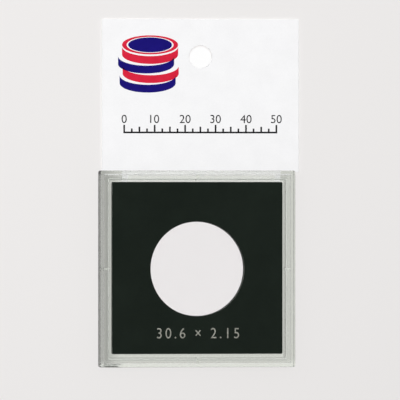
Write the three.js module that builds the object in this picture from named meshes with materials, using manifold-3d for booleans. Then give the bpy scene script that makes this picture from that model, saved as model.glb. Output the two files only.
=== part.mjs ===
// Clear snap case for one coin: a tray, a cover that drops over it, a black insert with the coin hole,
// and a white card glued behind the case, with a round hole to hang it by.
// It lies on its back: +Z is the way the window faces, +Y runs from the case to the top of the card.

import * as THREE from "three";
import { mergeVertices } from "three/addons/utils/BufferGeometryUtils.js";
import Module from "manifold-3d";

// Driving dimensions, in millimetres.

// The coin and the insert that holds it.
const COIN_DIAMETER = 30.6;
const COIN_CLEARANCE = 0.2;
const INSERT_THICKNESS = 2.5;
const INSERT_CORNER_RADIUS = 0.5;
const COIN_HOLE_DROP = 0.3; // the hole is cut a little below the sheet's middle

// The two moulded halves of the case.
const CASE_SIDE = 63.8;
const CASE_CORNER_RADIUS = 0.6;
const CASE_EDGE_RADIUS = 0.4;
const FLOOR_THICKNESS = 1.7;
const WINDOW_THICKNESS = 1.8;
const WINDOW_HEADROOM = 0.35; // from the insert up to the window
const SKIRT_THICKNESS = 1.25;
const SKIRT_CLEARANCE = 0.2; // between the cover's skirt and the tray's wall
const WALL_THICKNESS = 1.5;
const WALL_HEADROOM = 0.3; // from the tray's wall up to the window
const INSERT_GAP = 1.05; // between the tray's wall and the insert
const WALL_CORNER_RADIUS = 0.3;
const MOULD_DRAFT = THREE.MathUtils.degToRad(1);
const LEAD_IN = 0.25; // chamfer that starts the skirt over the wall
const ROOT_RADIUS = 0.2; // fillet where a wall leaves its plate
const SEAM_CHAMFER = 0.12; // on the outer edges that meet at the seam

// The snap: a low bead round the tray's wall, facing a groove in the skirt.
const SNAP_HEIGHT = 1.1; // above the tray's floor
const SNAP_WIDTH = 0.6;
const SNAP_CLEARANCE = 0.06;
const SNAP_GROOVE_DEPTH = 0.15;

// One rib on each side of the tray centres the insert.
const RIB_WIDTH = 0.8;
const RIB_CLEARANCE = 0.4;
const RIB_DROP = 0.4; // from the insert's front down to the rib's top
const RIB_SLOPE = 0.3; // lead-in at the rib's top
const RIB_REST = 0.1; // the loose insert has slid this near to the upper rib

// One key on each side of the tray, outside its wall, runs in a keyway of the skirt.
const KEY_WIDTH = 0.8;
const KEY_PROUD = 0.6;
const KEY_CLEARANCE = 0.15;

// A shallow arc in the skirt's rim, near one corner, lets a fingernail lift the cover.
const NAIL_NOTCH_LENGTH = 6.4;
const NAIL_NOTCH_HEIGHT = 1;
const NAIL_NOTCH_FROM_CORNER = 3.8; // from the case's left side to the notch's middle

// The hanging card and the strip of adhesive behind the tray.
const CARD_WIDTH = 64.6;
const CARD_HEIGHT = 55.2;
const CARD_THICKNESS = 0.4;
const CARD_CORNER_RADIUS = 0.4;
const CARD_OVERLAP = 6; // how far the card's tab runs down behind the case
const CARD_TUCK = 0.5; // how far its shoulders run down behind the case
const CARD_TAB_WIDTH = 52;
const CARD_OFFSET = 1.7; // the card is stuck on by hand, a little to the right
const HANG_HOLE_DIAMETER = 7.5;
const HANG_HOLE_FROM_TOP = 12.2;
const STRIP_THICKNESS = 0.15;
const STRIP_WIDTH = 48;
const STRIP_MARGIN = 0.6; // from the strip to the edges that it joins

// How finely round stretches are stepped.
const CORNER_STEPS = 5;
const FILLET_STEPS = 3;
const HOLE_STEPS = 72;

// Places that follow from the sizes, measured from the middle of the tray's back.
const POCKET_DEPTH = INSERT_THICKNESS + WINDOW_HEADROOM;
const CEILING = FLOOR_THICKNESS + POCKET_DEPTH;
const CASE_THICKNESS = CEILING + WINDOW_THICKNESS;
const WALL_INSET = SKIRT_THICKNESS + SKIRT_CLEARANCE;
const POCKET_INSET = WALL_INSET + WALL_THICKNESS;
const INSERT_SIDE = CASE_SIDE - 2 * (POCKET_INSET + INSERT_GAP);
const INSERT_SHIFT = RIB_CLEARANCE - RIB_REST;
const WALL_TOP = CEILING - WALL_HEADROOM;
const CASE_TOP_EDGE = CASE_SIDE / 2;
const CARD_FRONT = -STRIP_THICKNESS;
const CARD_BACK = CARD_FRONT - CARD_THICKNESS;
const CARD_BOTTOM_EDGE = CASE_TOP_EDGE - CARD_OVERLAP;
const CARD_TOP_EDGE = CARD_BOTTOM_EDGE + CARD_HEIGHT;

const wasm = await Module();
wasm.setup();

// Booleans: a closed geometry as a solid, and a solid as a geometry.
function solidOf(geometry) {
  const bare = new THREE.BufferGeometry();
  bare.setAttribute("position", geometry.getAttribute("position").clone());
  bare.setIndex(geometry.getIndex());
  const merged = mergeVertices(bare, 1e-4);
  const mesh = new wasm.Mesh({
    numProp: 3,
    vertProperties: merged.getAttribute("position").array,
    triVerts: new Uint32Array(merged.getIndex().array),
  });
  return new wasm.Manifold(mesh);
}

function geometryOf(solid) {
  const mesh = solid.getMesh();
  const geometry = new THREE.BufferGeometry();
  geometry.setAttribute("position", new THREE.BufferAttribute(mesh.vertProperties, 3));
  geometry.setIndex(new THREE.BufferAttribute(mesh.triVerts, 1));
  geometry.computeVertexNormals();
  return geometry;
}

// Points of a rectangle with round corners, counter-clockwise seen from the front.
function roundedRectangle(width, height, radius) {
  const corners = [[1, 1], [-1, 1], [-1, -1], [1, -1]];
  return corners.flatMap(([sideX, sideY], quarter) => {
    const centreX = sideX * (width / 2 - radius);
    const centreY = sideY * (height / 2 - radius);
    return Array.from({ length: CORNER_STEPS + 1 }, (_, step) => {
      const angle = (quarter + step / CORNER_STEPS) * (Math.PI / 2);
      return new THREE.Vector2(centreX + radius * Math.cos(angle), centreY + radius * Math.sin(angle));
    });
  });
}

// The case's outline at a distance inside its side faces.
function caseOutline(inset) {
  const side = CASE_SIDE - 2 * inset;
  return roundedRectangle(side, side, Math.max(CASE_CORNER_RADIUS - inset, WALL_CORNER_RADIUS));
}

// Carries a section, given as points of inset and height, round the case's outline.
// The first point closes with a face that looks back, the last with one that looks to the front.
function carryRoundCase(section) {
  const outlines = section.map(([inset]) => caseOutline(inset));
  const points = outlines.flatMap((outline, ring) =>
    outline.map((point) => new THREE.Vector3(point.x, point.y, section[ring][1])),
  );
  const count = outlines[0].length;
  const last = points.length - count;
  const triangles = [];
  for (const [a, b, c] of THREE.ShapeUtils.triangulateShape(outlines[0], [])) {
    triangles.push(a, c, b);
  }
  for (const [a, b, c] of THREE.ShapeUtils.triangulateShape(outlines.at(-1), [])) {
    triangles.push(last + a, last + b, last + c);
  }
  for (let low = 0; low < last; low += count) {
    for (let i = 0; i < count; i++) {
      const next = low + ((i + 1) % count);
      triangles.push(low + i, next, next + count, low + i, next + count, low + i + count);
    }
  }
  const geometry = new THREE.BufferGeometry().setFromPoints(points);
  geometry.setIndex(triangles);
  return geometry;
}

// Points of a quarter round from one angle to another, about a centre given as inset and height.
function quarterRound(inset, height, radius, fromDegrees, toDegrees) {
  return Array.from({ length: FILLET_STEPS + 1 }, (_, step) => {
    const angle = THREE.MathUtils.degToRad(fromDegrees + ((toDegrees - fromDegrees) * step) / FILLET_STEPS);
    return [inset + radius * Math.cos(angle), height + radius * Math.sin(angle)];
  });
}

// The faces between skirt and wall lean inwards by the mould's draft as they rise.
function leanAt(height) {
  return Math.tan(MOULD_DRAFT) * (height - FLOOR_THICKNESS);
}

const skirtFace = (height) => SKIRT_THICKNESS + leanAt(height);
const wallOuterFace = (height) => WALL_INSET + leanAt(height);
const wallInnerFace = (height) => POCKET_INSET - leanAt(height);

const SNAP_BOTTOM = FLOOR_THICKNESS + SNAP_HEIGHT - SNAP_WIDTH / 2;
const SNAP_MIDDLE = FLOOR_THICKNESS + SNAP_HEIGHT;
const SNAP_TOP = FLOOR_THICKNESS + SNAP_HEIGHT + SNAP_WIDTH / 2;
const BEAD_PROUD = SKIRT_CLEARANCE - SNAP_CLEARANCE;

// What stands on the tray's wall grows from the middle of its thickness.
const WALL_MIDDLE = CASE_SIDE / 2 - WALL_INSET - WALL_THICKNESS / 2;
const WALL_OUTSIDE = CASE_SIDE / 2 - WALL_INSET;
const KEY_TOP = WALL_TOP - LEAD_IN;

// The same solid on all four sides of the case, from the one on the +X side.
function onEachSide(geometry) {
  const sides = [0, 1, 2, 3].map((turn) => solidOf(geometry.clone().rotateZ((turn * Math.PI) / 2)));
  return sides.reduce((all, side) => all.add(side));
}

// Tray: from the middle of its back, round the flange, over the wall and down to the pocket's floor.
function trayGeometry() {
  const shell = solidOf(
    carryRoundCase([
      ...quarterRound(CASE_EDGE_RADIUS, CASE_EDGE_RADIUS, CASE_EDGE_RADIUS, 270, 180),
      [0, FLOOR_THICKNESS - SEAM_CHAMFER],
      [SEAM_CHAMFER, FLOOR_THICKNESS],
      [wallOuterFace(FLOOR_THICKNESS), FLOOR_THICKNESS],
      [wallOuterFace(SNAP_BOTTOM), SNAP_BOTTOM],
      [wallOuterFace(SNAP_MIDDLE) - BEAD_PROUD, SNAP_MIDDLE],
      [wallOuterFace(SNAP_TOP), SNAP_TOP],
      [wallOuterFace(WALL_TOP - LEAD_IN), WALL_TOP - LEAD_IN],
      [wallOuterFace(WALL_TOP) + LEAD_IN, WALL_TOP],
      [wallInnerFace(WALL_TOP), WALL_TOP],
      [wallInnerFace(FLOOR_THICKNESS + ROOT_RADIUS), FLOOR_THICKNESS + ROOT_RADIUS],
      ...quarterRound(POCKET_INSET + ROOT_RADIUS, FLOOR_THICKNESS + ROOT_RADIUS, ROOT_RADIUS, 210, 270),
    ]),
  );
  return geometryOf(shell.add(onEachSide(locatingRib())).add(onEachSide(centreKey())));
}

// Rib on the +X side: it grows from the wall and the floor and stops just short of the insert.
function locatingRib() {
  const reach = INSERT_SIDE / 2 + RIB_CLEARANCE;
  const foot = FLOOR_THICKNESS / 2;
  const top = FLOOR_THICKNESS + INSERT_THICKNESS - RIB_DROP;
  const section = new THREE.Shape();
  section.moveTo(reach, foot);
  section.lineTo(WALL_MIDDLE, foot);
  section.lineTo(WALL_MIDDLE, top);
  section.lineTo(reach + RIB_SLOPE, top);
  section.lineTo(reach, top - RIB_SLOPE);
  section.closePath();
  const rib = new THREE.ExtrudeGeometry(section, { depth: RIB_WIDTH, bevelEnabled: false });
  rib.translate(0, 0, -RIB_WIDTH / 2);
  rib.rotateX(Math.PI / 2);
  return rib;
}

// A block on the +X side, from the middle of the tray's wall outwards.
function blockThroughWall(outside, width, bottom, top) {
  const block = new THREE.BoxGeometry(outside - WALL_MIDDLE, width, top - bottom);
  block.translate((WALL_MIDDLE + outside) / 2, 0, (bottom + top) / 2);
  return block;
}

function centreKey() {
  return blockThroughWall(WALL_OUTSIDE + KEY_PROUD, KEY_WIDTH, FLOOR_THICKNESS / 2, KEY_TOP);
}

// The keyway is open at the skirt's rim, so that the cover lifts off the key.
function keyway() {
  const outside = WALL_OUTSIDE + KEY_PROUD + KEY_CLEARANCE;
  return blockThroughWall(outside, KEY_WIDTH + 2 * KEY_CLEARANCE, 0, KEY_TOP + KEY_CLEARANCE);
}

// Cover: from the window's inside, down the skirt's inner face, round its rim and up to the front.
function coverGeometry() {
  const shell = solidOf(
    carryRoundCase([
      ...quarterRound(skirtFace(CEILING) + ROOT_RADIUS, CEILING - ROOT_RADIUS, ROOT_RADIUS, 90, 180),
      [skirtFace(SNAP_TOP), SNAP_TOP],
      [skirtFace(SNAP_MIDDLE) - SNAP_GROOVE_DEPTH, SNAP_MIDDLE],
      [skirtFace(SNAP_BOTTOM), SNAP_BOTTOM],
      [skirtFace(FLOOR_THICKNESS + LEAD_IN), FLOOR_THICKNESS + LEAD_IN],
      [SKIRT_THICKNESS - LEAD_IN, FLOOR_THICKNESS],
      [SEAM_CHAMFER, FLOOR_THICKNESS],
      [0, FLOOR_THICKNESS + SEAM_CHAMFER],
      ...quarterRound(CASE_EDGE_RADIUS, CASE_THICKNESS - CASE_EDGE_RADIUS, CASE_EDGE_RADIUS, 180, 90),
    ]),
  );
  return geometryOf(shell.subtract(solidOf(nailNotch())).subtract(onEachSide(keyway())));
}

// The notch is a slice of a wide disc, standing in the lower skirt with its chord on the rim.
function nailNotch() {
  const halfChord = NAIL_NOTCH_LENGTH / 2;
  const radius = (halfChord ** 2 + NAIL_NOTCH_HEIGHT ** 2) / (2 * NAIL_NOTCH_HEIGHT);
  const depth = 2 * (SKIRT_THICKNESS + SKIRT_CLEARANCE / 2);
  const disc = new THREE.CylinderGeometry(radius, radius, depth, HOLE_STEPS);
  disc.translate(
    NAIL_NOTCH_FROM_CORNER - CASE_SIDE / 2,
    -CASE_SIDE / 2,
    FLOOR_THICKNESS + NAIL_NOTCH_HEIGHT - radius,
  );
  return disc;
}

// Adds a round hole to a flat outline.
function punch(shape, x, y, diameter) {
  const hole = Array.from({ length: HOLE_STEPS }, (_, step) => {
    const angle = (-2 * Math.PI * step) / HOLE_STEPS;
    return new THREE.Vector2(x + (diameter / 2) * Math.cos(angle), y + (diameter / 2) * Math.sin(angle));
  });
  shape.holes.push(new THREE.Path(hole));
}

function insertGeometry() {
  const sheet = new THREE.Shape(roundedRectangle(INSERT_SIDE, INSERT_SIDE, INSERT_CORNER_RADIUS));
  punch(sheet, 0, -COIN_HOLE_DROP, COIN_DIAMETER + COIN_CLEARANCE);
  return new THREE.ExtrudeGeometry(sheet, { depth: INSERT_THICKNESS, bevelEnabled: false });
}

// The card's outline about its middle: a panel above the case and a narrower tab behind the case.
function cardOutline() {
  const tabLength = CARD_OVERLAP - CARD_TUCK;
  const shoulder = tabLength - CARD_HEIGHT / 2;
  const panel = roundedRectangle(CARD_WIDTH, CARD_HEIGHT - tabLength, CARD_CORNER_RADIUS);
  const tab = roundedRectangle(CARD_TAB_WIDTH, 2 * tabLength, CARD_CORNER_RADIUS);
  panel.forEach((point) => point.setY(point.y + tabLength / 2));
  tab.forEach((point) => point.setY(point.y + shoulder));
  const perCorner = CORNER_STEPS + 1;
  return [
    ...panel.slice(0, 3 * perCorner),
    new THREE.Vector2(-CARD_TAB_WIDTH / 2, shoulder),
    ...tab.slice(2 * perCorner),
    new THREE.Vector2(CARD_TAB_WIDTH / 2, shoulder),
    ...panel.slice(3 * perCorner),
  ];
}

function cardGeometry() {
  const card = new THREE.Shape(cardOutline());
  punch(card, 0, CARD_HEIGHT / 2 - HANG_HOLE_FROM_TOP, HANG_HOLE_DIAMETER);
  return new THREE.ExtrudeGeometry(card, { depth: CARD_THICKNESS, bevelEnabled: false });
}

function stripGeometry() {
  const height = CARD_OVERLAP - CASE_EDGE_RADIUS - 2 * STRIP_MARGIN;
  return new THREE.BoxGeometry(STRIP_WIDTH, height, STRIP_THICKNESS);
}

// Finishes.
function clearPolystyrene() {
  return new THREE.MeshStandardMaterial({
    color: 0xdfe4e0,
    roughness: 0.06,
    metalness: 0,
    transparent: true,
    opacity: 0.3,
  });
}

function blackSheet() {
  return new THREE.MeshStandardMaterial({ color: 0x1f2320, roughness: 0.5, metalness: 0 });
}

function whiteBoard() {
  return new THREE.MeshStandardMaterial({ color: 0xf5f6f3, roughness: 0.75, metalness: 0 });
}

function acrylicAdhesive() {
  return new THREE.MeshStandardMaterial({ color: 0xe9e6da, roughness: 0.4, metalness: 0 });
}

function piece(name, geometry, material, x, y, z) {
  const mesh = new THREE.Mesh(geometry, material);
  mesh.name = name;
  mesh.position.set(x, y, z);
  return mesh;
}

const stripMiddle = (CASE_TOP_EDGE - CASE_EDGE_RADIUS + CARD_BOTTOM_EDGE) / 2;
const cardMiddle = (CARD_BOTTOM_EDGE + CARD_TOP_EDGE) / 2;

// The case and its card together, about the middle of the tray's back.
const caseAndCard = new THREE.Group();
caseAndCard.add(
  piece("back_tray", trayGeometry(), clearPolystyrene(), 0, 0, 0),
  piece("front_cover", coverGeometry(), clearPolystyrene(), 0, 0, 0),
  piece("insert", insertGeometry(), blackSheet(), 0, INSERT_SHIFT, FLOOR_THICKNESS),
  piece("hang_card", cardGeometry(), whiteBoard(), CARD_OFFSET, cardMiddle, CARD_BACK),
  piece("adhesive_strip", stripGeometry(), acrylicAdhesive(), CARD_OFFSET, stripMiddle, -STRIP_THICKNESS / 2),
);

// The part's origin is the middle of its footprint, on the surface that it lies on.
const leftSide = Math.min(-CASE_SIDE / 2, CARD_OFFSET - CARD_WIDTH / 2);
const rightSide = Math.max(CASE_SIDE / 2, CARD_OFFSET + CARD_WIDTH / 2);
caseAndCard.position.set(
  -(leftSide + rightSide) / 2,
  -(CARD_TOP_EDGE - CASE_SIDE / 2) / 2,
  -CARD_BACK,
);

const coinHolder = new THREE.Group();
coinHolder.add(caseAndCard);

export default coinHolder;
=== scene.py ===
"""Looks of a clear snap case for one coin, glued to a white hanging card.

Sizes in the classes are millimetres in the row frame; meshes are made in metres.
The holder lies on its back: +Z is the way the window faces, +Y runs to the top of the card.
"""

import logging
import math
from dataclasses import dataclass, field, replace
from enum import Enum, IntEnum
from typing import Any

import bmesh
import bpy
import numpy as np
from mathutils import Matrix, Vector


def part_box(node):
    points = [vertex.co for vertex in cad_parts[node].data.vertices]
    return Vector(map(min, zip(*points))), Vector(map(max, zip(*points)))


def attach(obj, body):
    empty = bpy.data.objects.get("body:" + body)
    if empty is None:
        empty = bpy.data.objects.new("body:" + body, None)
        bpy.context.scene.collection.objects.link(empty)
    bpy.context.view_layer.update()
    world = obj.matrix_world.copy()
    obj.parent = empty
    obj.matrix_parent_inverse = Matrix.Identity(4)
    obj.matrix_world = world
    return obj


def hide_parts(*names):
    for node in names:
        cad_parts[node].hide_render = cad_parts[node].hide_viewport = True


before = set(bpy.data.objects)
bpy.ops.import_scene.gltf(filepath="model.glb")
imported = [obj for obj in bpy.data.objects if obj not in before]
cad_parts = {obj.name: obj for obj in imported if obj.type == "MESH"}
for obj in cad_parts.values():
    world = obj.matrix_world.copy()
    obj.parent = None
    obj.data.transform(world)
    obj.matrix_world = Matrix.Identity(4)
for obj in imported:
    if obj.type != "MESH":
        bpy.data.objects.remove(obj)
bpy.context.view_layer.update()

LOG = logging.getLogger("coin_holder")
MM = 0.001
MERGE = 1e-7  # metres; points nearer to each other than this are one point
HAIR = 0.01  # mm of slack where heights are compared
AIR_GAP = 0.02  # mm left between clear faces that touch, so that each face bends light by itself
SMOOTH = {"interpolation_type": "SMOOTHSTEP"}  # setting of a range that starts and ends softly
MIXED_COLOUR = 2  # number of the Mix node's output for colours


class Body(str, Enum):
    """The bodies of the frame that pieces ride on."""

    TRAY_AND_CARD = "tray_and_card"
    COVER = "cover"
    INSERT = "loose_insert"


class Slot(str, Enum):
    """The record's material slots."""

    CLEAR = "clear_polystyrene"
    BLACK = "black_sheet"
    BOARD = "white_board"
    ADHESIVE = "adhesive"
    FOIL = "silver_foil"
    INK = "printing_ink"


class Side(IntEnum):
    """The case's sides, by the quarter turns that bring the +X side there."""

    RIGHT = 0
    UPPER = 1
    LEFT = 2
    LOWER = 3


class MixInput(IntEnum):
    """The Mix node's inputs by number, because their names repeat for each kind of data."""

    FACTOR = 0
    A = 2
    B = 3
    COLOUR_A = 6
    COLOUR_B = 7


class FaceRow(str, Enum):
    """What can be read of each face: its middle or its outward direction."""

    MIDDLE = "center"
    OUTWARD = "normal"


def linear(shade: str) -> tuple[float, float, float, float]:
    """Turns an sRGB hex colour into linear light, by the standard's curve.

    Args:
        shade: colour such as "#E9E7E6".

    Returns:
        Red, green, blue and an alpha of 1.
    """
    srgb = np.array([int(shade[i : i + 2], 16) for i in (1, 3, 5)]) / 255
    light = np.where(srgb <= 0.04045, srgb / 12.92, ((srgb + 0.055) / 1.055) ** 2.4)
    return (*light.tolist(), 1.0)


def per_metre(size: float) -> float:
    """Gives a pattern's scale, in repeats per metre, for a feature size in millimetres."""
    return 1 / (size * MM)


def on_floor(place: tuple[float, float]) -> tuple[float, float, float]:
    """Gives a place in millimetres as a point in metres at height 0."""
    return place[0] * MM, place[1] * MM, 0.0


def span(
    reach: tuple[float, float], levels: tuple[float, float] = (0.0, 1.0), unit: float = 1.0
) -> dict[str, float]:
    """Gives the constants that map one range onto another.

    Args:
        reach: start and end of the range that is read.
        levels: values at its start and end.
        unit: what the range is counted in, such as MM for lengths.

    Returns:
        The constants by the names of a Map Range node's inputs.
    """
    start, stop = reach
    return {"From Min": start * unit, "From Max": stop * unit, "To Min": levels[0], "To Max": levels[1]}


def add_node(
    tree: bpy.types.NodeTree,
    kind: str,
    links: dict[str | int, bpy.types.Node | bpy.types.NodeSocket] | None = None,
    values: dict[str | int, Any] | None = None,
    **settings: Any,
) -> bpy.types.Node:
    """Adds one node to a tree.

    Args:
        tree: tree that gets the node.
        kind: Blender's name of the node's type, without the "ShaderNode" in front.
        links: outputs that feed its inputs, by name or number; a node stands for its first output.
        values: constants for its inputs, by name or number.
        settings: properties of the node.

    Returns:
        The new node.
    """
    node = tree.nodes.new(f"ShaderNode{kind}")
    for key, value in settings.items():
        setattr(node, key, value)
    for key, value in (values or {}).items():
        node.inputs[key].default_value = value
    for key, source in (links or {}).items():
        socket = source.outputs[0] if isinstance(source, bpy.types.Node) else source
        tree.links.new(socket, node.inputs[key])
    return node


# Finishes


def fresh_material(name: str) -> tuple[bpy.types.Material, bpy.types.NodeTree]:
    """Makes an empty node material.

    Args:
        name: the real material and how its surface was made.

    Returns:
        The material and its cleared node tree.
    """
    material = bpy.data.materials.new(name)
    material.use_nodes = True
    material.node_tree.nodes.clear()
    return material, material.node_tree


@dataclass(frozen=True)
class ClearPolystyrene:
    """Crystal polystyrene, moulded against polished steel.

    Clear with a trace of grey-green, glossy, and faintly wavy where the plastic shrank in the mould,
    so that straight edges behind it look slightly drawn.
    """

    name: str = "crystal_polystyrene_polished_mould"
    tint: str = "#FEFFFD"
    shadow_tint: str = "#FEFEFE"
    ior: float = 1.59
    roughness: float = 0.0
    wave_size: float = 9.0
    wave_depth: float = 0.001

    def material(self) -> bpy.types.Material:
        """Makes the material: clear glassy plastic that lets the lamps' rays pass straight.

        Returns:
            The material.
        """
        material, tree = fresh_material(self.name)
        place = add_node(tree, "TexCoord").outputs["Object"]
        waves = add_node(
            tree, "TexNoise", {"Vector": place}, {"Scale": per_metre(self.wave_size), "Detail": 1.0}
        )
        depth = {"Strength": 1.0, "Distance": self.wave_depth * MM}
        bump = add_node(tree, "Bump", {"Height": waves.outputs["Fac"]}, depth)
        plastic = add_node(
            tree,
            "BsdfPrincipled",
            {"Normal": bump},
            {
                "Base Color": linear(self.tint),
                "IOR": self.ior,
                "Roughness": self.roughness,
                "Transmission Weight": 1.0,
            },
        )
        passing = add_node(tree, "BsdfTransparent", values={"Color": linear(self.shadow_tint)})
        path = add_node(tree, "LightPath")
        both = add_node(tree, "MixShader", {0: path.outputs["Is Shadow Ray"], 1: plastic, 2: passing})
        add_node(tree, "OutputMaterial", {"Surface": both})
        return material


@dataclass(frozen=True)
class GrainedFinish:
    """An opaque finish whose colour, gloss and relief vary with a fine grain and a slow cloudiness.

    Real grain of these surfaces is finer than the photograph's pixels, about a third of a millimetre, so
    it is drawn as coarse as it needs to show.
    """

    name: str
    dark: str
    light: str
    roughness: tuple[float, float]
    grain_size: float
    grain_depth: float
    cloud_size: float
    specular: float = 0.5
    metallic: float = 0.0
    grain_share: float = 0.45
    noise_range: tuple[float, float] = (0.3, 0.7)

    def material(self) -> bpy.types.Material:
        """Makes the material: noise of the grain's and the cloud's size drives colour, gloss and relief.

        Returns:
            The material.
        """
        material, tree = fresh_material(self.name)
        place = add_node(tree, "TexCoord").outputs["Object"]
        noises = (
            {"Scale": per_metre(self.grain_size), "Detail": 3.0, "Roughness": 0.6},
            {"Scale": per_metre(self.cloud_size), "Detail": 4.0, "Roughness": 0.55},
        )
        grain, cloud = (
            add_node(tree, "TexNoise", {"Vector": place}, noise).outputs["Fac"] for noise in noises
        )
        share = add_node(
            tree, "Mix", {MixInput.A: cloud, MixInput.B: grain}, {MixInput.FACTOR: self.grain_share}
        )
        spread = add_node(tree, "MapRange", {"Value": share}, span(self.noise_range))
        shades = {MixInput.COLOUR_A: linear(self.dark), MixInput.COLOUR_B: linear(self.light)}
        colour = add_node(tree, "Mix", {MixInput.FACTOR: spread}, shades, data_type="RGBA")
        gloss = add_node(tree, "MapRange", {"Value": grain}, span(self.noise_range, self.roughness))
        depth = {"Strength": 1.0, "Distance": self.grain_depth * MM}
        bump = add_node(tree, "Bump", {"Height": grain}, depth)
        surface = add_node(
            tree,
            "BsdfPrincipled",
            {"Base Color": colour.outputs[MIXED_COLOUR], "Roughness": gloss, "Normal": bump},
            {"Specular IOR Level": self.specular, "Metallic": self.metallic},
        )
        add_node(tree, "OutputMaterial", {"Surface": surface})
        return material


# Pale opaque finish on edges of the clear plastic: a painted highlight that stands in for the fine
# bright lines that the plastic's rounded edges throw.
PAINTED_HIGHLIGHT_EDGE = GrainedFinish(
    name="crystal_polystyrene_painted_highlight_edge",
    dark="#E6E9E3",
    light="#F1F3EE",
    roughness=(0.35, 0.5),
    grain_size=0.3,
    grain_depth=0.003,
    cloud_size=6.0,
    specular=0.2,
)

# Die-cut polystyrene sheet with a satin face: near black, a trace of green, almost no gloss.
SATIN_BLACK_SHEET = GrainedFinish(
    name="black_polystyrene_sheet_satin_die_cut",
    dark="#191F1B",
    light="#212823",
    roughness=(0.5, 0.64),
    grain_size=0.35,
    grain_depth=0.004,
    cloud_size=11.0,
    specular=0.06,
)

# The same sheet where the die cut it: torn and rubbed, so it scatters light; its grey is partly that
# roughness and partly a painted sheen for the light that the cut edge catches.
CUT_EDGE_WITH_PAINTED_SHEEN = GrainedFinish(
    name="black_polystyrene_die_cut_edge_painted_sheen",
    dark="#6F7470",
    light="#868B87",
    roughness=(0.6, 0.8),
    grain_size=0.25,
    grain_depth=0.01,
    cloud_size=4.0,
    specular=0.2,
)

# Clay-coated board: clean white with a hardly visible mottle, a soft sheen and a fine tooth.
COATED_BOARD = GrainedFinish(
    name="white_board_clay_coated",
    dark="#F1F1F2",
    light="#F8F8F9",
    roughness=(0.5, 0.65),
    grain_size=0.5,
    grain_depth=0.003,
    cloud_size=7.0,
    specular=0.3,
)

# Acrylic film adhesive, milky, with the small bubbles that are left when it is rolled down.
ACRYLIC_ADHESIVE = GrainedFinish(
    name="acrylic_adhesive_film_rolled_down",
    dark="#F1F1EE",
    light="#F8F8F5",
    roughness=(0.3, 0.5),
    grain_size=0.9,
    grain_depth=0.01,
    cloud_size=5.0,
)

# Hot-stamped aluminium foil: dull silver, broken where the die pressed lightly.
SILVER_FOIL = GrainedFinish(
    name="aluminium_foil_hot_stamped",
    dark="#94938A",
    light="#E2E2D9",
    roughness=(0.35, 0.6),
    grain_size=0.45,
    grain_depth=0.004,
    cloud_size=1.6,
    metallic=0.35,
)

# Offset inks on coated board: solid colour that the board's tooth breaks up very slightly.
BLACK_INK = GrainedFinish(
    name="black_ink_offset_printed",
    dark="#0C0C0E",
    light="#1E1E21",
    roughness=(0.4, 0.55),
    grain_size=0.4,
    grain_depth=0.002,
    cloud_size=3.0,
)
RED_INK = replace(BLACK_INK, name="red_ink_offset_printed", dark="#CE1F38", light="#DE2B45")
BLUE_INK = replace(BLACK_INK, name="blue_ink_offset_printed", dark="#130D66", light="#1C1378")


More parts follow.
